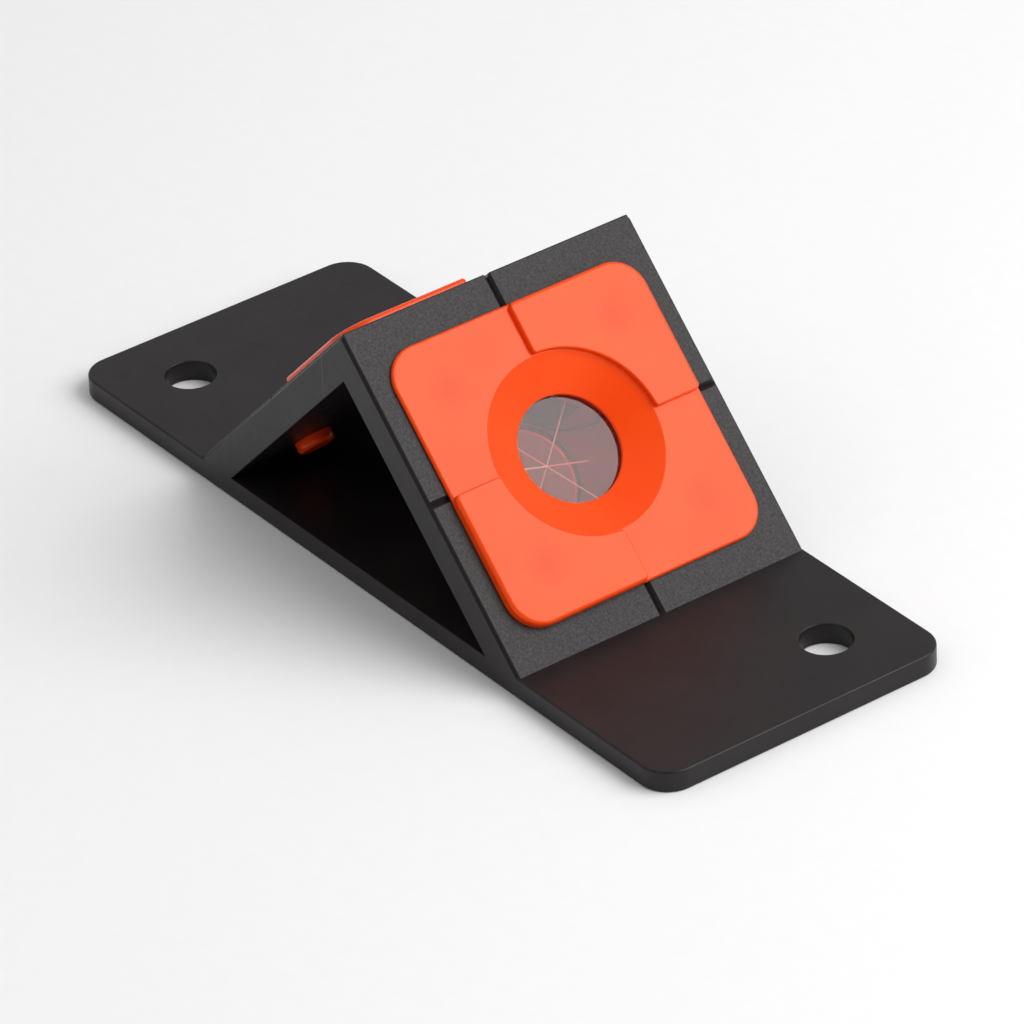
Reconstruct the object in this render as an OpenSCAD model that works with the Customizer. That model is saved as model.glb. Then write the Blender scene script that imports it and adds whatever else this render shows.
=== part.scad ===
// Two-sided monitoring prism target: a rigid moulded base and tunnel frame, with a
// staked target plate and a glass corner-cube prism on each sloping face.
// Millimetres. The origin is the middle of the base's underside. +X runs along the base
// towards the front target, and +Z is up.

/* [Base plate] */
// Length of the base plate along X
base_length = 150; // [145:1:170]
// Width of the base plate and the frame along Y
base_width = 54; // [53:1:60]
// Thickness of the base plate
base_thick = 3.6; // [3:0.1:6]
// Corner radius of the base plate
base_corner_r = 5; // [2:0.5:10]
// Diameter of the two fixing holes
hole_d = 8.2; // [5:0.1:9]
// Distance of each fixing hole from the middle of the base along X
hole_x = 61.8; // [52:0.1:64]
// Distance of each fixing hole from the centre line along Y
hole_y = 14.1; // [0:0.1:18]

/* [Tunnel frame] */
// Height of the ridge above the base plate
frame_rise = 40.7; // [40:0.1:45]
// Thickness of the sloping walls, from the raised land to the tunnel
wall_thick = 5.8; // [5.6:0.1:6.2]
// Height of the raised textured land above the smooth ledge beside it
land_raise = 0.5; // [0.2:0.1:0.8]
// Width of the smooth ledge at each side of the land
land_inset = 0.45; // [0.2:0.05:1]
// Width of the sighting grooves in the land
groove_width = 1.2; // [0.8:0.1:2]
// Depth of the sighting grooves in the land
groove_depth = 0.6; // [0.3:0.1:0.9]

/* [Target] */
// Side length of the square target plate
target_side = 46.7; // [45:0.1:47.5]
// Corner radius of the target plate
target_corner_r = 5.5; // [2:0.1:8]
// Distance of the target's centre below the middle of the sloping face
target_drop = 0.2; // [0:0.05:0.4]
// Height of the target plate and its two low quadrants above the land
low_pad = 0.75; // [0.6:0.05:1]
// Height of the two high quadrants above the land
high_pad = 1.7; // [1.3:0.1:2.4]
// Radius of the edge between the quadrants and the sloping ring
ring_r = 14.6; // [14:0.1:16]
// Depth of the ring's inner edge below the land
ring_depth = 1.85; // [1.5:0.05:2]
// Diameter of the clear aperture
aperture_d = 17.1; // [16:0.1:17.2]

/* [Stakes] */
// Distance of each stake from the middle of the target, along each side
stake_offset = 15.1; // [14.5:0.1:16]
// Diameter of a stake's shaft
stake_d = 4.2; // [3:0.1:5]
// Diameter of a stake's formed head
stake_head_d = 6.2; // [5.4:0.1:7]
// Height of a stake's formed head
stake_head_h = 1.9; // [1.7:0.1:2.6]
// Rounding of the rim of a stake's head
stake_round = 0.7; // [0.3:0.1:0.8]

/* [Prism] */
// Diameter of the glass prism
prism_d = 18.2; // [18.1:0.1:18.8]
// Height of the cylindrical rim at the front of the glass
prism_rim = 0.3; // [0.3:0.1:1]

/* [Hidden] */
$fn = 96;

// The sloping faces stand at 45 degrees, so the frame is as long at its foot, each side, as it is high.
face_angle = 45;
foot_x = frame_rise;
face_length = frame_rise / sin(face_angle);
face_mid = [foot_x / 2, 0, base_thick + frame_rise / 2];
ledge_drop = land_raise / cos(face_angle);
tunnel_drop = wall_thick / cos(face_angle);

// Overlap that keeps cutting tools clear of the faces they cut
cut = 1;
// Room round a piece that slides into a hole
hole_clearance = 0.05;
seat_clearance = 0.2;

// Depths below the land, along the axis of a target
boss_depth = 2.6;
glass_front = boss_depth + 0.1;
// The faces of a corner cube meet a cylinder of radius r no lower than r * sqrt(2) from its apex.
glass_height = prism_rim + prism_d / 2 * sqrt(2);
glass_apex = glass_front + glass_height;
flange_thick = 1.4;
flange_depth = boss_depth + flange_thick;
cup_shoulder_depth = glass_apex - prism_d / 2 / sqrt(2) + 0.25;
cup_inner_depth = glass_apex + 0.55;
cup_depth = cup_inner_depth + 1;

// Radii about the axis of a target
boss_r = 14.6;
counterbore_r = boss_r + seat_clearance;
flange_r = boss_r;
cup_bore_r = prism_d / 2 + seat_clearance;
cup_outer_r = cup_bore_r + 1;
cup_hole_r = cup_outer_r + seat_clearance;
cup_nose_r = 5.8;
cushion_inner_r = 3;
cushion_outer_r = 4.7;
well_r = 2.4;
seal_inner_r = aperture_d / 2 + 0.15;
seal_outer_r = prism_d / 2;
seal_groove_depth = 0.3;
glass_chamfer = 0.2;

// The cushion ring touches the glass where the cube's edges pass its inner rim.
cushion_top = glass_apex - cushion_inner_r / sqrt(2);
cushion_thick = 1.1;
cushion_seat = cushion_top + cushion_thick;

// Angle between a corner cube's long diagonal and each of its edges
cube_tilt = atan(sqrt(2));
// Turn of the cube about its axis. One of its edges then lies 22 degrees off the line down the slope.
cube_turn = 82;

rear_turn = 180;

module on_front() {
    translate(face_mid)
        rotate([0, face_angle, 0])
            children();
}

module on_rear() {
    rotate([0, 0, rear_turn])
        on_front()
            children();
}

// Moves a piece from the middle of a face to the centre of its target
module at_target() {
    translate([target_drop, 0, 0])
        children();
}

// A rectangle with round corners, centred on the origin
module round_rect(size, r) {
    square([size[0] - 2 * r, size[1]], center = true);
    square([size[0], size[1] - 2 * r], center = true);
    for (sx = [-1, 1], sy = [-1, 1])
        translate([sx * (size[0] / 2 - r), sy * (size[1] / 2 - r)])
            circle(r);
}

module base_plate() {
    difference() {
        linear_extrude(base_thick)
            round_rect([base_length, base_width], base_corner_r);
        for (side = [-1, 1])
            translate([side * hole_x, side * hole_y, -cut])
                cylinder(h = base_thick + 2 * cut, d = hole_d);
    }
}

// A triangular prism with its ridge along Y, standing on the base plate and rooted in it
module ridge_body(drop, width) {
    half = foot_x - drop;
    root = base_thick / 2;
    translate([0, width / 2, 0])
        rotate([90, 0, 0])
            linear_extrude(width)
                polygon([
                    [-half, root], [half, root],
                    [half, base_thick], [0, base_thick + half], [-half, base_thick]
                ]);
}

module tunnel_cut() {
    half = foot_x - tunnel_drop;
    translate([0, base_width / 2 + cut, 0])
        rotate([90, 0, 0])
            linear_extrude(base_width + 2 * cut)
                polygon([[-half, base_thick], [half, base_thick], [0, base_thick + half]]);
}

// One V-shaped groove along X, starting at the origin, cut into the plane z = 0
module vee_groove(length) {
    reach = groove_width / 2 * (groove_depth + cut) / groove_depth;
    rotate([90, 0, 90])
        linear_extrude(length)
            polygon([[0, -groove_depth], [reach, cut], [-reach, cut]]);
}

// The hole, counterbore and peg holes that a target and its cup sit in
module target_seat() {
    translate([0, 0, -flange_depth])
        cylinder(h = flange_depth + cut, r = counterbore_r);
    translate([0, 0, -wall_thick - cut])
        cylinder(h = wall_thick + cut, r = cup_hole_r);
    for (sx = [-1, 1], sy = [-1, 1])
        translate([sx * stake_offset, sy * stake_offset, -wall_thick - cut])
            cylinder(h = wall_thick + 2 * cut, d = stake_d + 2 * hole_clearance);
}

// Everything that is cut into one sloping wall, in the frame of its face
module face_cuts() {
    start = target_side / 2 - cut;
    for (turn = [0, 90, 180, 270])
        rotate([0, 0, turn])
            translate([start, 0, 0])
                vee_groove(face_length / 2);
    at_target()
        target_seat();
}

module base_frame() {
    color("#3b393b")
        union() {
            base_plate();
            difference() {
                union() {
                    ridge_body(ledge_drop, base_width);
                    ridge_body(0, base_width - 2 * land_inset);
                }
                tunnel_cut();
                intersection() {
                    union() {
                        on_front() face_cuts();
                        on_rear() face_cuts();
                    }
                    translate([-base_length, -base_width, base_thick])
                        cube([2 * base_length, 2 * base_width, frame_rise + cut]);
                }
            }
        }
}

module target_outline() {
    round_rect([target_side, target_side], target_corner_r);
}

// One raised quadrant. Unturned, it is the one on the +X, +Y side of the target.
module high_quadrant(turn) {
    rotate([0, 0, turn])
        linear_extrude(high_pad)
            difference() {
                intersection() {
                    target_outline();
                    square(target_side);
                }
                circle(ring_r);
            }
}

// One staked peg: a shaft through the wall and a round-rimmed head inside the tunnel
module stake() {
    head_r = stake_head_d / 2;
    head_end = wall_thick + stake_head_h;
    translate([0, 0, -wall_thick - cut])
        cylinder(h = wall_thick + cut + low_pad / 2, d = stake_d);
    translate([0, 0, stake_round - head_end])
        cylinder(h = stake_head_h - stake_round, r = head_r);
    translate([0, 0, -head_end])
        cylinder(h = 2 * stake_round, r = head_r - stake_round);
    translate([0, 0, stake_round - head_end])
        rotate_extrude()
            translate([head_r - stake_round, 0])
                circle(stake_round);
}

module target() {
    color("#fe7350")
        difference() {
            union() {
                linear_extrude(low_pad)
                    target_outline();
                high_quadrant(90);
                high_quadrant(270);
                translate([0, 0, -boss_depth])
                    cylinder(h = boss_depth + low_pad / 2, r = boss_r);
                for (sx = [-1, 1], sy = [-1, 1])
                    translate([sx * stake_offset, sy * stake_offset, 0])
                        stake();
            }
            // Sloping ring, from the low quadrants down to the aperture
            translate([0, 0, -ring_depth])
                cylinder(h = ring_depth + low_pad, r1 = aperture_d / 2, r2 = ring_r);
            translate([0, 0, -boss_depth - cut])
                cylinder(h = boss_depth + 2 * cut, d = aperture_d);
            // Groove for the seal ring, in the back of the lip
            translate([0, 0, -boss_depth - cut])
                cylinder(h = seal_groove_depth + cut, r = seal_outer_r);
        }
}

module seal_ring() {
    top = boss_depth - seal_groove_depth;
    color("#202020")
        translate([0, 0, -glass_front])
            difference() {
                cylinder(h = glass_front - top, r = seal_outer_r);
                translate([0, 0, -cut])
                    cylinder(h = glass_front - top + 2 * cut, r = seal_inner_r);
            }
}

// Corner-cube prism: a round glass blank with a cube's corner ground on its back
module prism() {
    prism_r = prism_d / 2;
    color("#9a7c78")
        translate([0, 0, -glass_apex])
            intersection() {
                union() {
                    cylinder(h = glass_height - glass_chamfer, r = prism_r);
                    translate([0, 0, glass_height - glass_chamfer])
                        cylinder(h = glass_chamfer, r1 = prism_r, r2 = prism_r - glass_chamfer);
                }
                rotate([0, 0, cube_turn])
                    rotate([0, -cube_tilt, 0])
                        rotate([0, 0, -45])
                            cube(3 * prism_r);
            }
}

module cushion_ring() {
    color("#4a4a4a")
        translate([0, 0, -cushion_seat])
            difference() {
                cylinder(h = cushion_thick, r = cushion_outer_r);
                translate([0, 0, -cut])
                    cylinder(h = cushion_thick + 2 * cut, r = cushion_inner_r);
            }
}

// Cup that holds the glass from behind, turned from its half section
module prism_cup() {
    pocket_r = cushion_outer_r + hole_clearance;
    pocket_depth = cushion_top - seat_clearance;
    color("#2b2a2c")
        rotate_extrude()
            polygon([
                [0, -cup_depth],
                [cup_nose_r, -cup_depth],
                [cup_outer_r, -cup_shoulder_depth],
                [cup_outer_r, -flange_depth],
                [flange_r, -flange_depth],
                [flange_r, -boss_depth],
                [cup_bore_r, -boss_depth],
                [cup_bore_r, -cup_shoulder_depth],
                [pocket_r, -pocket_depth],
                [pocket_r, -cushion_seat],
                [well_r, -cushion_seat],
                [well_r, -cup_inner_depth],
                [0, -cup_inner_depth]
            ]);
}

base_frame();
on_front() at_target() target();  // front_target
on_front() at_target() seal_ring();  // front_seal_ring
on_front() at_target() prism();  // front_prism
on_front() at_target() cushion_ring();  // front_cushion_ring
on_front() at_target() prism_cup();  // front_prism_cup
on_rear() at_target() target();  // rear_target
on_rear() at_target() seal_ring();  // rear_seal_ring
on_rear() at_target() prism();  // rear_prism
on_rear() at_target() cushion_ring();  // rear_cushion_ring
on_rear() at_target() prism_cup();  // rear_prism_cup
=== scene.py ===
"""Looks of a two-sided monitoring prism target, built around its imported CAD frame.

Meshes are laid out in millimetres, in the row's frame or in the frame of one sloping face,
and turned into metres as they are made. On a face, x runs down the slope, y runs along the
row's +Y on the front and -Y on the rear, and z leaves the raised land at a right angle.
"""

import math

import bmesh
import bpy
from mathutils import Matrix, Vector


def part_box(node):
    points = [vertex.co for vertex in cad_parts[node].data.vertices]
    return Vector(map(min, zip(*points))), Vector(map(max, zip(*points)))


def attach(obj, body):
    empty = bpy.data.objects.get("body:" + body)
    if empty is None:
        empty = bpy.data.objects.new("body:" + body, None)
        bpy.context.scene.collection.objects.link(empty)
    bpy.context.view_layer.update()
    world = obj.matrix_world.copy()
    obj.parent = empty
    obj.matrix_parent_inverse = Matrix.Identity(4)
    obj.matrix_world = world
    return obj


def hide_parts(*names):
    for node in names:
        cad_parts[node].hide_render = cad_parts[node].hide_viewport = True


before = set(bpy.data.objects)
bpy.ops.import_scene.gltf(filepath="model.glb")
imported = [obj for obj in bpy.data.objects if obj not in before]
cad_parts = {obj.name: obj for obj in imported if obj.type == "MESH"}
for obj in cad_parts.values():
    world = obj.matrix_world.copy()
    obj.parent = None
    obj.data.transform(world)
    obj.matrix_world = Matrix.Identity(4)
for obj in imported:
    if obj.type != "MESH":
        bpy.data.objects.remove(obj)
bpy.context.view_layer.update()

MM = 0.001
BODY = "root"

# The moulding, in millimetres. Its overall sizes are the CAD frame's.
base_low, base_high = (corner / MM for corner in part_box("base_frame"))
BASE_HALF = Vector(((base_high.x - base_low.x) / 2, (base_high.y - base_low.y) / 2))
BASE_THICK = 3.6
BASE_CORNER_R = 5.0
HOLE_R = 4.1
HOLE_AT = Vector((61.8, 14.1))
RISE = base_high.z - BASE_THICK
SLOPE = math.radians(45)
WALL_THICK = 5.8
LAND_RAISE = 0.5
LAND_INSET = 0.45
GROOVE_WIDTH = 1.2
GROOVE_DEPTH = 0.6
FACE_HALF = RISE / math.sin(SLOPE) / 2

# The target, in the frame of its own centre
TARGET_DROP = 0.2
TARGET_HALF = 23.35
TARGET_CORNER_R = 5.5
LOW_PAD = 0.75
HIGH_PAD = 1.7
RING_R = 14.6
RING_DEPTH = 1.85
APERTURE_R = 8.55
BOSS_R = 14.6
BOSS_DEPTH = 2.6
STAKE_AT = 15.1
STAKE_R = 2.1
STAKE_HEAD_R = 3.1
STAKE_HEAD_H = 1.9
STAKE_ROUND = 0.7
PEG_CLEARANCE = 0.05

# The glass and what holds it
GLASS_R = 9.1
GLASS_RIM = 0.3
GLASS_CHAMFER = 0.2
GLASS_FRONT = BOSS_DEPTH + 0.1
GLASS_APEX = GLASS_FRONT + GLASS_RIM + GLASS_R * math.sqrt(2)
SEAL_INNER_R = APERTURE_R + 0.15
SEAL_GROOVE = 0.3
FLANGE_DEPTH = 4.0
FLANGE_R = BOSS_R
COUNTERBORE_R = FLANGE_R + 0.2
CUP_BORE_R = GLASS_R + 0.2
CUP_OUTER_R = CUP_BORE_R + 1
CUP_HOLE_R = CUP_OUTER_R + 0.2
CUP_NOSE_R = 5.8
CUSHION_INNER_R = 3.0
CUSHION_OUTER_R = 4.7
CUSHION_THICK = 1.1
CUSHION_TOP = GLASS_APEX - CUSHION_INNER_R / math.sqrt(2)

# Points round a circle, on most pieces and on the target
ROUND = 96
FINE_ROUND = 288

# How far a cutter passes the surface that it cuts
PAST = 1.0
# Points closer than this are joined after a boolean
MERGE = 0.002
# Edges that turn more than this stay sharp
CREASE = math.radians(38)


# ---------------------------------------------------------------- mesh helpers

def mesh_from(name, points, faces):
    """A mesh in metres from points in millimetres."""
    mesh = bpy.data.meshes.new(name)
    mesh.from_pydata([Vector(p) * MM for p in points], [], faces)
    mesh.validate()
    return mesh


def object_from(name, mesh):
    piece = bpy.data.objects.new(name, mesh)
    bpy.context.scene.collection.objects.link(piece)
    return piece


def solid(name, loops, capped=True):
    """A closed solid through loops of equal length, capped at both ends or joined end to end."""
    count = len(loops[0])
    points = [p for loop in loops for p in loop]
    faces = []
    joins = len(loops) - 1 if capped else len(loops)
    for row in range(joins):
        here = row * count
        there = (row + 1) % len(loops) * count
        for i in range(count):
            j = (i + 1) % count
            faces.append((here + i, here + j, there + j, there + i))
    if capped:
        faces.append(tuple(reversed(range(count))))
        faces.append(tuple(range((len(loops) - 1) * count, len(loops) * count)))
    mesh = mesh_from(name, points, faces)
    fix = bmesh.new()
    fix.from_mesh(mesh)
    bmesh.ops.recalc_face_normals(fix, faces=fix.faces)
    fix.to_mesh(mesh)
    fix.free()
    return object_from(name, mesh)


def circle(radius, z, count=ROUND):
    """Points round the z axis."""
    turns = (2 * math.pi * i / count for i in range(count))
    return [(radius * math.cos(t), radius * math.sin(t), z) for t in turns]


def lathe(name, profile, capped=True, count=ROUND):
    """A turned solid. The profile lists (radius, z), and runs right round it when it isn't capped."""
    return solid(name, [circle(r, z, count) for r, z in profile], capped)


def arc(cx, cy, radius, start, end, steps):
    """Points on an arc, in the plane of its first two arguments. Angles are in degrees."""
    turns = (math.radians(start + (end - start) * i / steps) for i in range(steps + 1))
    return [(cx + radius * math.cos(t), cy + radius * math.sin(t)) for t in turns]


def place(piece, matrix):
    """Moves a piece's own mesh, and leaves the piece at the origin."""
    piece.data.transform(matrix)
    return piece


def at(x, y):
    """A shift in millimetres."""
    return Matrix.Translation(Vector((x, y, 0)) * MM)


def combine(piece, others, operation):
    """Unites the others with a piece, or cuts them from it, and throws them away."""
    for other in others:
        step = piece.modifiers.new(operation, "BOOLEAN")
        step.object = other
        step.operation = operation
        step.solver = "EXACT"
    apply_modifiers(piece)
    for other in others:
        bpy.data.objects.remove(other)
    return piece


def apply_modifiers(piece):
    """Gives a piece the mesh that its modifiers make."""
    bpy.context.view_layer.update()
    shaped = piece.evaluated_get(bpy.context.evaluated_depsgraph_get())
    mesh = bpy.data.meshes.new_from_object(shaped)
    piece.modifiers.clear()
    piece.data = mesh


def tidy_mesh(piece):
    """Joins points that a boolean left on top of each other."""
    work = bmesh.new()
    work.from_mesh(piece.data)
    bmesh.ops.remove_doubles(work, verts=work.verts, dist=MERGE * MM)
    bmesh.ops.dissolve_degenerate(work, edges=work.edges, dist=MERGE * MM)
    work.to_mesh(piece.data)
    work.free()


def shade(piece):
    """Smooth shading that keeps creases sharp and flat faces flat."""
    work = bmesh.new()
    work.from_mesh(piece.data)
    for face in work.faces:
        face.smooth = True
    for edge in work.edges:
        edge.smooth = len(edge.link_faces) == 2 and edge.calc_face_angle(0) < CREASE
    work.to_mesh(piece.data)
    work.free()
    even = piece.modifiers.new("even_normals", "WEIGHTED_NORMAL")
    even.keep_sharp = True
    even.mode = "FACE_AREA"


# ---------------------------------------------------------------- faces

FACE_MID = Vector((RISE / 2, 0, BASE_THICK + RISE / 2))
TO_FRONT = Matrix.Translation(FACE_MID * MM) @ Matrix.Rotation(SLOPE, 4, "Y")
FACES = {
    "front": TO_FRONT,
    "rear": Matrix.Rotation(math.pi, 4, "Z") @ TO_FRONT,
}
SEATS = {side: matrix @ at(TARGET_DROP, 0) for side, matrix in FACES.items()}


# ---------------------------------------------------------------- the black moulding

def rounded_rectangle(half_x, half_y, radius):
    """The base plate's outline, with 12 steps round each corner."""
    outline = []
    for sx, sy, start in ((1, 1, 0), (-1, 1, 90), (-1, -1, 180), (1, -1, 270)):
        cx = sx * (half_x - radius)
        cy = sy * (half_y - radius)
        outline += arc(cx, cy, radius, start, start + 90, 12)
    return outline


def make_plate():
    """The base plate, with round corners and softened edges."""
    soft = 0.35
    loops = []
    rim = arc(soft, soft, -soft, 90, 0, 4) + arc(soft, BASE_THICK - soft, -soft, 0, -90, 4)
    for inset, z in rim:
        outline = rounded_rectangle(BASE_HALF.x - inset, BASE_HALF.y - inset, BASE_CORNER_R - inset)
        loops.append([(x, y, z) for x, y in outline])
    return solid("frame_moulding", loops)


def ridge_outline(drop):
    """The frame's end outline, with its faces sunk below the land by a drop, and a soft ridge."""
    foot = RISE - drop / math.cos(SLOPE)
    soft = 0.25
    ridge = arc(0, BASE_THICK + foot - soft * math.sqrt(2), soft, 45, 135, 4)
    root = BASE_THICK / 2
    return [(-foot, root), (foot, root), (foot, BASE_THICK), *ridge, (-foot, BASE_THICK)]


def make_ridge():
    """The raised lands, with a sunken ledge along each side of the frame."""
    side = BASE_HALF.y
    land = side - LAND_INSET
    # Each step is a distance from the middle, and how far the ledge lies below the land there
    steps = (
        (side, LAND_RAISE + 0.06), (side - 0.05, LAND_RAISE), (land + 0.06, LAND_RAISE * 0.6),
        (land, LAND_RAISE * 0.1), (land - 0.08, 0.0),
    )
    stations = [(-y, drop) for y, drop in steps] + [(y, drop) for y, drop in reversed(steps)]
    return solid("ridge", [[(x, y, z) for x, z in ridge_outline(drop)] for y, drop in stations])


def make_tunnel():
    """The cutter of the tunnel, which flares a little at both mouths."""
    side = BASE_HALF.y
    loops = []
    # Each step is a distance past the frame's side, and how much the mouth is widened there
    mouth = ((PAST, 0.5), (0.0, 0.14), (-0.06, 0.05), (-0.18, 0.0))
    stations = [(-side - past, grow) for past, grow in mouth]
    stations += [(side + past, grow) for past, grow in reversed(mouth)]
    for y, grow in stations:
        foot = RISE - (WALL_THICK - grow) / math.cos(SLOPE)
        low = BASE_THICK - grow
        loops.append([(-foot - grow, y, low), (foot + grow, y, low), (0, y, BASE_THICK + foot)])
    return solid("tunnel", loops)


def make_fixing_hole(sign):
    """The cutter of one fixing hole, with softened rims."""
    soft = 0.25
    profile = [(HOLE_R + PAST, -PAST), (HOLE_R + soft, 0), (HOLE_R, soft)]
    profile += [(HOLE_R + soft - r, z) for r, z in arc(0, BASE_THICK - soft, soft, 0, 90, 4)]
    profile.append((HOLE_R + soft + PAST, BASE_THICK + PAST))
    return place(lathe("hole", profile), at(*(HOLE_AT * sign)))


def groove_cutters(side):
    """The sighting grooves of one sloping wall, which run out over its four edges."""
    grooves = []
    spread = GROOVE_WIDTH / 2 * (GROOVE_DEPTH + PAST) / GROOVE_DEPTH
    wedge = [(0, -GROOVE_DEPTH), (spread, PAST), (-spread, PAST)]
    start = TARGET_HALF - PAST
    ends = (start, start + FACE_HALF)
    for quarter in range(4):
        groove = solid("groove", [[(x, y, z) for y, z in wedge] for x in ends])
        turn = Matrix.Rotation(quarter * math.pi / 2, 4, "Z")
        grooves.append(place(groove, FACES[side] @ turn))
    return grooves


def seat_cutters(side):
    """The seat in one sloping wall that its target and cup fill."""
    inside = -WALL_THICK - PAST
    seat = [
        lathe("counterbore", [(COUNTERBORE_R, -FLANGE_DEPTH), (COUNTERBORE_R, PAST)]),
        lathe("cup_hole", [(CUP_HOLE_R, inside), (CUP_HOLE_R, -FLANGE_DEPTH + PAST)]),
    ]
    peg_hole_r = STAKE_R + PEG_CLEARANCE
    for x in (-STAKE_AT, STAKE_AT):
        for y in (-STAKE_AT, STAKE_AT):
            hole = lathe("peg_hole", [(peg_hole_r, inside), (peg_hole_r, PAST)], count=32)
            seat.append(place(hole, at(x, y)))
    return [place(tool, SEATS[side]) for tool in seat]


def make_moulding():
    """The black moulding. Its grooves are cut before the plate is joined on, so they stop at it."""
    grooves = [groove for side in FACES for groove in groove_cutters(side)]
    ridge = combine(make_ridge(), grooves, "DIFFERENCE")
    moulding = combine(make_plate(), [ridge], "UNION")
    cutters = [make_tunnel(), make_fixing_hole(1), make_fixing_hole(-1)]
    for side in FACES:
        cutters += seat_cutters(side)
    combine(moulding, cutters, "DIFFERENCE")
    tidy_mesh(moulding)
    return moulding


def land_faces(piece):
    """Marks the faces of the two raised lands with the piece's second material."""
    for face in piece.data.polygons:
        centre = face.center / MM
        gap = (RISE - abs(centre.x) - (centre.z - BASE_THICK)) * math.cos(SLOPE)
        square_on = abs(face.normal.z) > 0.68 and abs(face.normal.x) > 0.68
        face.material_index = 1 if abs(gap) < 0.05 and square_on else 0


# ---------------------------------------------------------------- the orange target

PAD_RING_FILLET = 0.7
PAD_END_FILLET = 1.0
OUTER_SOFT = 0.7
INNER_SOFT = 0.3
FOOT_SOFT = 0.15
# Small offsets that keep the pads' walls and the slab's from lying on each other
PAD_SET_BACK = 0.05
SLAB_SET_BACK = 0.02


def quadrant_outline():
    """The outline of the +x, +y pad: each vertex's point, outward direction and top rounding."""
    outline = []

    def run(points, centre, soft_start, soft_end, facing=1):
        for k, p in enumerate(points):
            outward = (Vector(p) - Vector(centre)).normalized() * facing
            share = k / (len(points) - 1)
            outline.append((Vector(p), outward, soft_start + (soft_end - soft_start) * share))

    end = PAD_END_FILLET
    far = TARGET_HALF - end
    corner = TARGET_HALF - TARGET_CORNER_R
    run(arc(far, end, end, -90, 0, 10), (far, end), INNER_SOFT, OUTER_SOFT)
    run(arc(corner, corner, TARGET_CORNER_R, 0, 90, 20), (corner, corner), OUTER_SOFT, OUTER_SOFT)
    run(arc(end, far, end, 90, 180, 10), (end, far), OUTER_SOFT, INNER_SOFT)
    fillet = PAD_RING_FILLET
    ring = RING_R + PAD_SET_BACK
    near = math.sqrt((ring + fillet) ** 2 - fillet ** 2)
    meet = math.degrees(math.atan2(fillet, near))
    run(arc(fillet, near, fillet, 180, 270 - meet, 8), (fillet, near), INNER_SOFT, INNER_SOFT)
    run(arc(0, 0, ring, 90 - meet, meet, 40)[1:-1], (0, 0), INNER_SOFT, INNER_SOFT, facing=-1)
    run(arc(near, fillet, fillet, 180 + meet, 270, 8), (near, fillet), INNER_SOFT, INNER_SOFT)
    return outline


def make_pad(quarter):
    """One raised quadrant, with drafted walls and a softened top."""
    draft = 0.08
    steps = 7
    turns = [math.pi / 2 * k / steps for k in range(steps + 1)]
    outline = quadrant_outline()
    loops = []
    for inset, level in ((FOOT_SOFT, 0.0), (FOOT_SOFT * 0.3, FOOT_SOFT * 0.3), (0.0, FOOT_SOFT)):
        loops.append([(*(p - outward * inset), level) for p, outward, soft in outline])
    for turn in turns:
        in_share, down_share = 1 - math.cos(turn), 1 - math.sin(turn)
        loops.append([
            (*(p - outward * (draft + soft * in_share)), HIGH_PAD - soft * down_share)
            for p, outward, soft in outline
        ])
    return place(solid("pad", loops), Matrix.Rotation(quarter * math.pi / 2, 4, "Z"))


def slab_outline(inset, z):
    """The target's outline, at the same turns as the points of a circle."""
    half = TARGET_HALF - SLAB_SET_BACK - inset
    radius = TARGET_CORNER_R - inset
    corner = half - radius
    points = []
    for x, y, _ in circle(1, z, FINE_ROUND):
        reach = half / max(abs(x), abs(y))
        if min(abs(x), abs(y)) * reach > corner:
            along = (abs(x) + abs(y)) * corner
            reach = along + math.sqrt(along ** 2 - 2 * corner ** 2 + radius ** 2)
        points.append((x * reach, y * reach, z))
    return points


def make_slab():
    """The target plate: its lip, sloping ring, low quadrants and the boss behind it."""
    lip = 0.2
    edge = 0.12
    tilt = math.degrees(math.atan2(RING_DEPTH + LOW_PAD, RING_R - APERTURE_R))
    lip_z = -RING_DEPTH - lip * math.tan(math.radians((90 - tilt) / 2))
    front = [(APERTURE_R, -BOSS_DEPTH + SEAL_GROOVE)]
    front += arc(APERTURE_R + lip, lip_z, lip, 180, 90 + tilt, 5)
    front.append((RING_R - edge, LOW_PAD - edge * math.tan(math.radians(tilt))))
    front.append((RING_R + edge, LOW_PAD))
    loops = [circle(r, z, FINE_ROUND) for r, z in front]
    soft = 0.45
    for inset, z in arc(soft, LOW_PAD - soft, -soft, -90, 0, 5):
        loops.append(slab_outline(inset, z))
    loops.append(slab_outline(0, FOOT_SOFT))
    loops.append(slab_outline(FOOT_SOFT, SLAB_SET_BACK))
    back = [
        (BOSS_R, SLAB_SET_BACK), (BOSS_R, -BOSS_DEPTH + edge), (BOSS_R - edge, -BOSS_DEPTH),
        (GLASS_R, -BOSS_DEPTH), (GLASS_R, -BOSS_DEPTH + SEAL_GROOVE),
    ]
    loops += [circle(r, z, FINE_ROUND) for r, z in back]
    return solid("target", loops, capped=False)


def make_stake(x, y):
    """A peg through the wall, with a squat round-rimmed head in the tunnel."""
    end = -WALL_THICK - STAKE_HEAD_H
    rim = STAKE_HEAD_R - STAKE_ROUND
    soft = 0.15
    profile = arc(rim, end + STAKE_ROUND, STAKE_ROUND, -90, 0, 6)
    profile += arc(STAKE_HEAD_R - soft, -WALL_THICK - soft, soft, 0, 90, 2)
    profile += [(STAKE_R, -WALL_THICK), (STAKE_R, LOW_PAD / 2)]
    return place(lathe("stake", profile, count=48), at(x, y))


def make_target():
    """The slab with its two high pads and four pegs."""
    offsets = (-STAKE_AT, STAKE_AT)
    extras = [make_pad(quarter) for quarter in (1, 3)]
    extras += [make_stake(x, y) for x in offsets for y in offsets]
    target = combine(make_slab(), extras, "UNION")
    tidy_mesh(target)
    return target


# ---------------------------------------------------------------- glass, cup and rings

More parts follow.
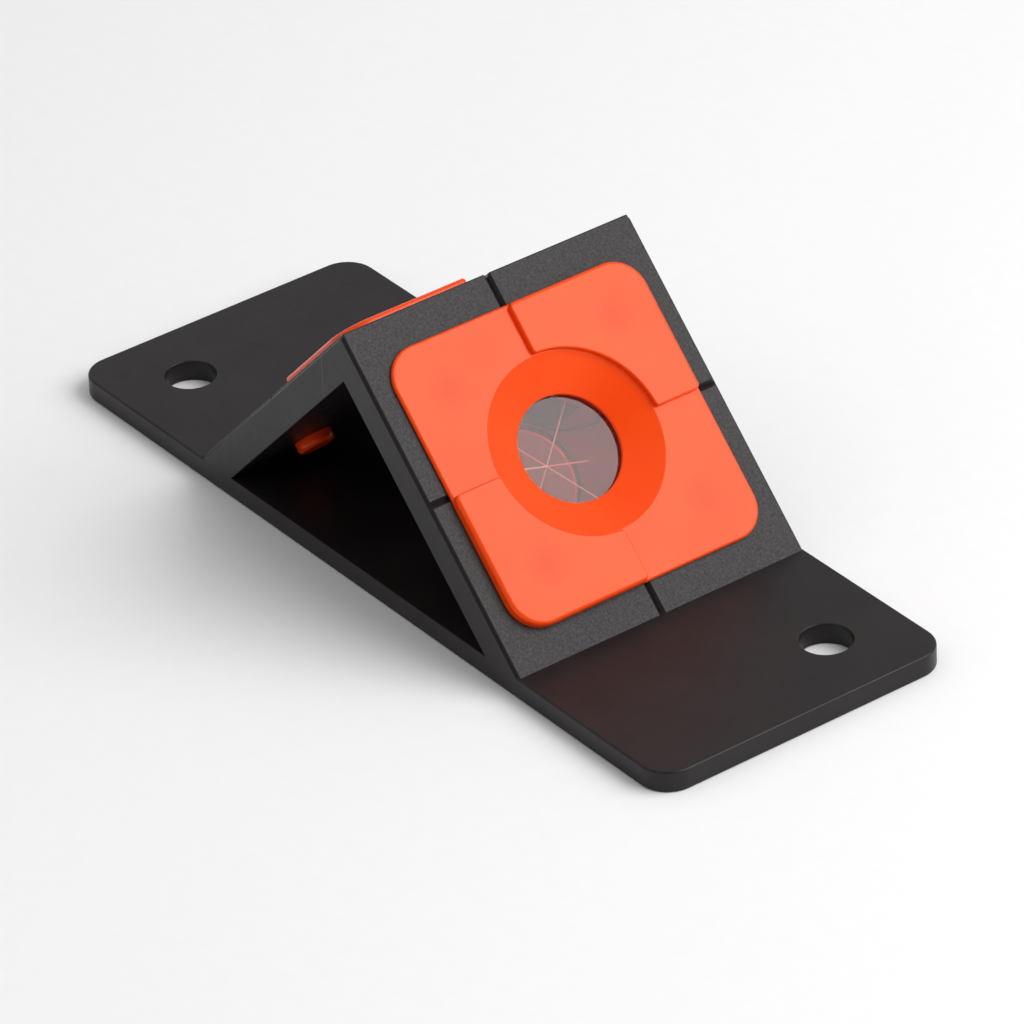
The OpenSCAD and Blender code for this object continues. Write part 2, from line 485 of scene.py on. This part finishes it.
# The flats ground along the cube's edges, and the turn of the first edge from the down-slope
EDGE_FLAT = 0.1
CUBE_TURN = math.radians(22)
# A cube on its corner: the squared fall of its edges' outward normals and of its faces'
FALL_OF_FLATS = 2 / 3
FALL_OF_FACES = 1 / 3


def leaning(turn, down):
    """A unit direction at a turn about the axis. The square of its fall is `down`."""
    out = math.sqrt(1 - down)
    return Vector((math.cos(turn) * out, math.sin(turn) * out, -math.sqrt(down)))


def make_glass():
    """A round blank with a cube's corner ground on its back, and flats along the cube's edges."""
    glass = lathe("glass", [
        (GLASS_R, -GLASS_APEX - PAST),
        (GLASS_R, -GLASS_FRONT - GLASS_CHAMFER),
        (GLASS_R - GLASS_CHAMFER, -GLASS_FRONT),
    ])
    apex = Vector((0, 0, -GLASS_APEX)) * MM
    cuts = []
    for third in range(3):
        turn = CUBE_TURN + third * math.radians(120)
        flat = leaning(turn, FALL_OF_FLATS)
        cuts.append((apex, leaning(turn + math.radians(60), FALL_OF_FACES)))
        cuts.append((apex - flat * EDGE_FLAT * MM, flat))
    work = bmesh.new()
    work.from_mesh(glass.data)
    for point, normal in cuts:
        everything = work.verts[:] + work.edges[:] + work.faces[:]
        bmesh.ops.bisect_plane(
            work, geom=everything, plane_co=point, plane_no=normal, clear_outer=True)
        rim = [edge for edge in work.edges if len(edge.link_faces) == 1]
        bmesh.ops.contextual_create(work, geom=rim)
    bmesh.ops.recalc_face_normals(work, faces=work.faces)
    work.to_mesh(glass.data)
    work.free()
    return glass


def glass_faces(piece):
    """Coats the cube's three faces, grinds the flats along its edges and paints its round side."""
    backs = ((math.sqrt(FALL_OF_FACES), 1), (math.sqrt(FALL_OF_FLATS), 2), (0.0, 3))
    for face in piece.data.polygons:
        face.material_index = 0
        for fall, index in backs:
            if abs(face.normal.z + fall) < 0.02:
                face.material_index = index


def make_cup():
    """The cup that closes the back of the glass, with a pocket for the cushion and a well below."""
    soft = 0.15
    gap = 0.25
    well_gap = 0.55
    floor_thick = 1
    shoulder = -(GLASS_APEX - GLASS_R / math.sqrt(2) + gap)
    well_z = -GLASS_APEX - well_gap
    end = well_z - floor_thick
    seat = -CUSHION_TOP - CUSHION_THICK
    pocket_r = CUSHION_OUTER_R + 0.05
    well_r = 2.4
    flange, top = -FLANGE_DEPTH, -BOSS_DEPTH
    outside = [
        (CUP_NOSE_R - 0.6, end), (CUP_NOSE_R - 0.2, end + 0.1), (CUP_NOSE_R + 0.1, end + 0.4),
        (CUP_OUTER_R - soft, shoulder - soft), (CUP_OUTER_R, shoulder + soft),
        (CUP_OUTER_R, flange), (FLANGE_R - soft, flange), (FLANGE_R, flange + soft),
        (FLANGE_R, top - soft), (FLANGE_R - soft, top),
        (CUP_BORE_R + soft, top), (CUP_BORE_R, top - soft),
    ]
    inside = [
        (CUP_BORE_R, shoulder), (pocket_r, -CUSHION_TOP + 0.2), (pocket_r, seat),
        (well_r, seat), (well_r, well_z),
    ]
    return lathe("cup", outside + inside)


def make_ring(name, inner, outer, low, high, soft):
    """A flat ring with softened rims."""
    profile = []
    for r, z, start in ((outer, high, 0), (inner, high, 90), (inner, low, 180), (outer, low, 270)):
        centre_r = r - soft if r == outer else r + soft
        centre_z = z - soft if z == high else z + soft
        profile += arc(centre_r, centre_z, soft, start, start + 90, 3)
    return lathe(name, profile, capped=False)


def make_cushion():
    """The ring that presses the glass forward, under the cube's corner."""
    low = -CUSHION_TOP - CUSHION_THICK
    return make_ring("cushion", CUSHION_INNER_R, CUSHION_OUTER_R, low, -CUSHION_TOP, 0.15)


def make_seal():
    """The ring between the window's lip and the glass."""
    high = -BOSS_DEPTH + SEAL_GROOVE
    return make_ring("seal", SEAL_INNER_R, GLASS_R, -GLASS_FRONT, high, 0.08)


# ---------------------------------------------------------------- materials

class Shader:
    """A Principled material whose patterned sockets are fed by small node chains."""

    def __init__(self, name, **sockets):
        self.material = bpy.data.materials.new(name)
        self.material.use_nodes = True
        self.tree = self.material.node_tree
        self.surface = self.tree.nodes["Principled BSDF"]
        for socket, value in sockets.items():
            self.surface.inputs[socket.replace("_", " ")].default_value = value
        self.place = self.tree.nodes.new("ShaderNodeTexCoord").outputs["Object"]

    def link(self, source, target):
        self.tree.links.new(source, target)

    def noise(self, scale, detail=2.0, rough=0.5):
        node = self.tree.nodes.new("ShaderNodeTexNoise")
        node.inputs["Scale"].default_value = scale
        node.inputs["Detail"].default_value = detail
        node.inputs["Roughness"].default_value = rough
        self.link(self.place, node.inputs["Vector"])
        return node.outputs["Fac"]

    def specks(self, scale, size):
        """1 inside scattered dots, 0 outside. The size is a share of a cell."""
        node = self.tree.nodes.new("ShaderNodeTexVoronoi")
        node.inputs["Scale"].default_value = scale
        self.link(self.place, node.inputs["Vector"])
        return self.span(node.outputs["Distance"], size, size * 0.4, 0.0, 1.0)

    def span(self, source, low, high, to_low, to_high):
        """Maps low to to_low and high to to_high, and holds still beyond them."""
        node = self.tree.nodes.new("ShaderNodeMapRange")
        values = (low, high, to_low, to_high)
        for name, value in zip(("From Min", "From Max", "To Min", "To Max"), values):
            node.inputs[name].default_value = value
        self.link(source, node.inputs["Value"])
        return node.outputs["Result"]

    def maths(self, operation, a, b=0.0):
        node = self.tree.nodes.new("ShaderNodeMath")
        node.operation = operation
        for slot, value in enumerate((a, b)):
            if isinstance(value, (int, float)):
                node.inputs[slot].default_value = value
            else:
                self.link(value, node.inputs[slot])
        return node.outputs["Value"]

    def mix(self, share, dark, light):
        """A colour between two colours or outputs."""
        node = self.tree.nodes.new("ShaderNodeMix")
        node.data_type = "RGBA"
        self.link(share, node.inputs["Factor"])
        for socket, value in (("A", dark), ("B", light)):
            target = next(s for s in node.inputs if s.name == socket and s.type == "RGBA")
            if isinstance(value, tuple):
                target.default_value = (*value, 1.0)
            else:
                self.link(value, target)
        return next(s for s in node.outputs if s.type == "RGBA")

    def bump(self, height, strength, distance_mm, below=None):
        node = self.tree.nodes.new("ShaderNodeBump")
        node.inputs["Strength"].default_value = strength
        node.inputs["Distance"].default_value = distance_mm * MM
        self.link(height, node.inputs["Height"])
        if below is not None:
            self.link(below, node.inputs["Normal"])
        return node.outputs["Normal"]

    def axis(self, index):
        """The object's own x, y or z, in metres."""
        node = self.tree.nodes.new("ShaderNodeSeparateXYZ")
        self.link(self.place, node.inputs["Vector"])
        return node.outputs[index]

    def feed(self, socket, source):
        self.link(source, self.surface.inputs[socket])


KNIT_X = -5.5
KNIT_FOOT = 31


def black_plastic():
    """Satin black moulding: faint flow mottling, a fine skin, a few dust specks and a knit line."""
    s = Shader("black_plastic", Specular_IOR_Level=0.27)
    cloud = s.noise(90, 3)
    dust = s.specks(330, 0.03)
    flow = s.span(cloud, 0.35, 0.65, 0, 1)
    base = s.mix(flow, (0.0135, 0.0100, 0.0108), (0.0175, 0.0135, 0.0142))
    # A pale line where two streams of plastic met, on the -Y side between the tunnel and the ridge
    off_line = s.maths("ABSOLUTE", s.maths("ADD", s.axis(0), -KNIT_X * MM))
    near_line = s.span(off_line, 0.05 * MM, 0.16 * MM, 0.6, 0.0)
    on_side = s.maths("LESS_THAN", s.axis(1), 0.2 * MM - BASE_HALF.y * MM)
    above = s.maths("GREATER_THAN", s.axis(2), KNIT_FOOT * MM)
    knit = s.maths("MULTIPLY", near_line, s.maths("MULTIPLY", on_side, above))
    marks = s.maths("MAXIMUM", dust, knit)
    s.feed("Base Color", s.mix(marks, base, (0.085, 0.075, 0.073)))
    s.feed("Roughness", s.span(s.noise(700, 4), 0.3, 0.7, 0.31, 0.40))
    skin = s.bump(s.noise(1600, 2), 0.08, 0.04)
    s.feed("Normal", s.bump(cloud, 0.05, 0.3, skin))
    return s.material


def grained_plastic():
    """The spark-eroded grain of the raised lands."""
    s = Shader("grained_plastic", Specular_IOR_Level=0.42)
    grain = s.noise(2600, 3, 0.65)
    coarse = s.noise(1100, 2)
    pits = s.maths("ADD", grain, s.maths("MULTIPLY", coarse, 0.6))
    peaks = s.span(grain, 0.35, 0.7, 0, 1)
    s.feed("Base Color", s.mix(peaks, (0.016, 0.0125, 0.0132), (0.030, 0.025, 0.026)))
    s.feed("Roughness", s.span(grain, 0.3, 0.7, 0.66, 0.5))
    s.feed("Normal", s.bump(pits, 0.6, 0.05))
    return s.material


def orange_plastic():
    """Slightly translucent orange-red moulding, patchy in gloss, with sink marks over its pegs: dents
    in the bump, and painted shade that darkens the base colour there.
    """
    s = Shader("orange_plastic", Specular_IOR_Level=0.33, Specular_Tint=(1.0, 0.92, 0.72, 1.0),
               Subsurface_Weight=0.06, Subsurface_Scale=0.6 * MM)
    cloud = s.noise(70, 3)
    fall_x, fall_y = (
        s.maths("SUBTRACT", s.maths("ABSOLUTE", s.axis(k)), STAKE_AT * MM) for k in (0, 1)
    )
    squares = (s.maths("MULTIPLY", fall, fall) for fall in (fall_x, fall_y))
    from_peg = s.maths("SQRT", s.maths("ADD", *squares))
    # Round each peg the sink mask dents the surface through the bump, and also darkens the base
    # colour as painted shade of the dent
    sink_dent_and_shade = s.span(from_peg, STAKE_R * 0.3 * MM, STAKE_R * 1.9 * MM, 0.0, 1.0)
    tone_and_sink_shade = s.maths("MULTIPLY", s.span(cloud, 0.3, 0.7, 0.55, 1.0), s.span(sink_dent_and_shade, 0, 1, 0.2, 1.0))
    s.feed("Base Color", s.mix(tone_and_sink_shade, (0.90, 0.044, 0.001), (0.98, 0.074, 0.003)))
    s.feed("Roughness", s.span(s.noise(55, 4), 0.3, 0.7, 0.16, 0.27))
    waves = s.bump(s.noise(120, 2), 0.1, 0.2)
    hollows = s.bump(sink_dent_and_shade, 0.6, 0.12, waves)
    s.feed("Normal", s.bump(s.noise(2200, 2), 0.05, 0.03, hollows))
    return s.material


def clear_glass():
    """Crown glass with a trace of haze."""
    s = Shader("clear_glass", Transmission_Weight=1.0, IOR=1.52, Specular_IOR_Level=0.42,
               Base_Color=(0.98, 0.985, 0.98, 1.0))
    s.feed("Roughness", s.span(s.noise(500, 2), 0.4, 0.75, 0.0, 0.015))
    return s.material


def mirror_coat():
    """The copper-like coating on the back of the glass."""
    s = Shader("mirror_coat", Metallic=0.94)
    cloud = s.noise(220, 3)
    tarnish = s.span(cloud, 0.3, 0.7, 0, 1)
    s.feed("Base Color", s.mix(tarnish, (0.90, 0.44, 0.38), (0.93, 0.48, 0.42)))
    s.feed("Roughness", s.span(cloud, 0.3, 0.7, 0.02, 0.04))
    return s.material


def ground_edge():
    """The ground flats along the cube's edges, which show pale pink through the glass."""
    s = Shader("ground_edge")
    s.feed("Base Color", s.mix(s.noise(3000, 2), (0.90, 0.52, 0.44), (1.0, 0.62, 0.52)))
    s.feed("Roughness", s.span(s.noise(900, 2), 0.3, 0.7, 0.6, 0.8))
    return s.material


def side_paint():
    """The copper-brown paint on the round side of the glass."""
    s = Shader("side_paint", Specular_IOR_Level=0.2)
    s.feed("Base Color", s.mix(s.noise(400, 3), (0.36, 0.060, 0.036), (0.46, 0.085, 0.050)))
    s.feed("Roughness", s.span(s.noise(900, 2), 0.3, 0.7, 0.6, 0.8))
    return s.material


def rubber(name, low, high):
    """Matt rubber, between two greys."""
    s = Shader(name, Specular_IOR_Level=0.35)
    grain = s.noise(1800, 3)
    s.feed("Base Color", s.mix(grain, (low,) * 3, (high,) * 3))
    s.feed("Roughness", s.span(grain, 0.3, 0.7, 0.7, 0.85))
    s.feed("Normal", s.bump(grain, 0.2, 0.05))
    return s.material


def cup_plastic():
    """Matt black moulding."""
    s = Shader("cup_plastic", Specular_IOR_Level=0.45)
    cloud = s.noise(150, 3)
    s.feed("Base Color", s.mix(cloud, (0.008, 0.008, 0.009), (0.014, 0.013, 0.014)))
    s.feed("Roughness", s.span(s.noise(900, 3), 0.3, 0.7, 0.4, 0.52))
    s.feed("Normal", s.bump(s.noise(1500, 2), 0.12, 0.05))
    return s.material


# ---------------------------------------------------------------- the pieces

def adopt(piece, node, materials):
    """Makes a mesh stand for a CAD node."""
    for material in materials:
        piece.data.materials.append(material)
    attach(piece, BODY)
    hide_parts(node)


moulding = make_moulding()
adopt(moulding, "base_frame", [black_plastic(), grained_plastic()])
land_faces(moulding)
shade(moulding)

# What each face holds: its name, its maker, its slot, its materials, and what marks its faces
FITTINGS = (
    ("target", make_target, "orange_plastic", [orange_plastic()], None),
    ("prism", make_glass, "prism_glass",
     [clear_glass(), mirror_coat(), ground_edge(), side_paint()], glass_faces),
    ("prism_cup", make_cup, "cup_plastic", [cup_plastic()], None),
    ("cushion_ring", make_cushion, "cushion_rubber", [rubber("cushion_rubber", 0.03, 0.06)], None),
    ("seal_ring", make_seal, "seal_rubber", [rubber("seal_rubber", 0.008, 0.02)], None),
)
for kind, make, slot, materials, mark in FITTINGS:
    master = make()
    for side, matrix in SEATS.items():
        piece = object_from(f"{side}_{kind}_moulded", master.data.copy())
        piece.matrix_world = matrix
        adopt(piece, f"{side}_{kind}", materials)
        if mark:
            mark(piece)
        shade(piece)
    bpy.data.objects.remove(master)


# ---------------------------------------------------------------- floor, light and camera

FLOOR_REACH = 3000
KEY_TOWARD = (0.54, 0.49, 0.69)
KEY_SIZE = 0.85
KEY_DISTANCE = 1.0
KEY_RADIANCE = 3.8
WORLD_LEVEL = 0.56
DIM_LEVEL = 0.2
DIM_TOWARD = (0.69, -0.49, 0.54)
DIM_EDGE = math.radians(38)
DIM_CORE = math.radians(14)

# The camera's angles, and its distance and aim in widths of the base
CAMERA_AZIMUTH = math.radians(54.517)
CAMERA_ELEVATION = math.radians(32.487)
CAMERA_ROLL = math.radians(2.943)
CAMERA_DISTANCE = 21.164
CAMERA_AIM_RIGHT = -0.0354
CAMERA_AIM_UP = -0.0297
CAMERA_LENS = 263.13


def make_floor():
    """A plain sheet of pale paper."""
    corners = [(x * FLOOR_REACH, y * FLOOR_REACH, 0) for x, y in ((-1, -1), (1, -1), (1, 1), (-1, 1))]
    floor = object_from("floor", mesh_from("floor", corners, [(0, 1, 2, 3)]))
    s = Shader("floor_paper", Specular_IOR_Level=0.1)
    s.feed("Base Color", s.mix(s.noise(300, 2), (0.93, 0.93, 0.93), (0.96, 0.96, 0.96)))
    s.feed("Roughness", s.span(s.noise(500, 2), 0.3, 0.7, 0.8, 0.9))
    floor.data.materials.append(s.material)


def make_key_light():
    """A square softbox that faces the object, where the front face mirrors the camera."""
    light = bpy.data.lights.new("key", "AREA")
    light.size = KEY_SIZE
    light.energy = KEY_RADIANCE * math.pi * KEY_SIZE ** 2
    lamp = bpy.data.objects.new("key", light)
    bpy.context.scene.collection.objects.link(lamp)
    toward = Vector(KEY_TOWARD).normalized()
    lamp.location = toward * KEY_DISTANCE
    lamp.rotation_mode = "QUATERNION"
    lamp.rotation_quaternion = toward.to_track_quat("Z", "Y")


def make_world():
    """Even white light all round, with a dimmer patch where the photographer stands."""
    world = bpy.data.worlds.new("studio")
    world.use_nodes = True
    tree = world.node_tree
    background = tree.nodes["Background"]
    background.inputs["Color"].default_value = (1, 1, 1, 1)
    toward = tree.nodes.new("ShaderNodeVectorMath")
    toward.operation = "DOT_PRODUCT"
    toward.inputs[1].default_value = Vector(DIM_TOWARD).normalized()
    direction = tree.nodes.new("ShaderNodeTexCoord").outputs["Generated"]
    tree.links.new(direction, toward.inputs[0])
    fade = tree.nodes.new("ShaderNodeMapRange")
    values = (math.cos(DIM_EDGE), math.cos(DIM_CORE), WORLD_LEVEL, DIM_LEVEL)
    for name, value in zip(("From Min", "From Max", "To Min", "To Max"), values):
        fade.inputs[name].default_value = value
    tree.links.new(toward.outputs["Value"], fade.inputs["Value"])
    tree.links.new(fade.outputs["Result"], background.inputs["Strength"])
    bpy.context.scene.world = world


def make_camera():
    """Looks down on the front face and the -Y side, with a long lens and a slight roll."""
    width = 2 * BASE_HALF.y * MM
    level_out = math.cos(CAMERA_ELEVATION)
    back = Vector((
        math.sin(CAMERA_AZIMUTH) * level_out,
        -math.cos(CAMERA_AZIMUTH) * level_out,
        math.sin(CAMERA_ELEVATION),
    ))
    right = Vector((math.cos(CAMERA_AZIMUTH), math.sin(CAMERA_AZIMUTH), 0))
    up = back.cross(right)
    c, s = math.cos(CAMERA_ROLL), math.sin(CAMERA_ROLL)
    right, up = right * c - up * s, right * s + up * c
    data = bpy.data.cameras.new("camera")
    data.sensor_width = 36
    data.lens = CAMERA_LENS
    data.clip_start = 0.05
    data.clip_end = 20
    camera = bpy.data.objects.new("camera", data)
    bpy.context.scene.collection.objects.link(camera)
    aim = right * CAMERA_AIM_RIGHT + up * CAMERA_AIM_UP
    where = (back * CAMERA_DISTANCE - aim) * width
    turn = Matrix((right, up, back)).transposed().to_4x4()
    camera.matrix_world = Matrix.Translation(where) @ turn
    bpy.context.scene.camera = camera


make_floor()
make_key_light()
make_world()
make_camera()
bpy.context.scene.view_settings.view_transform = "Standard"
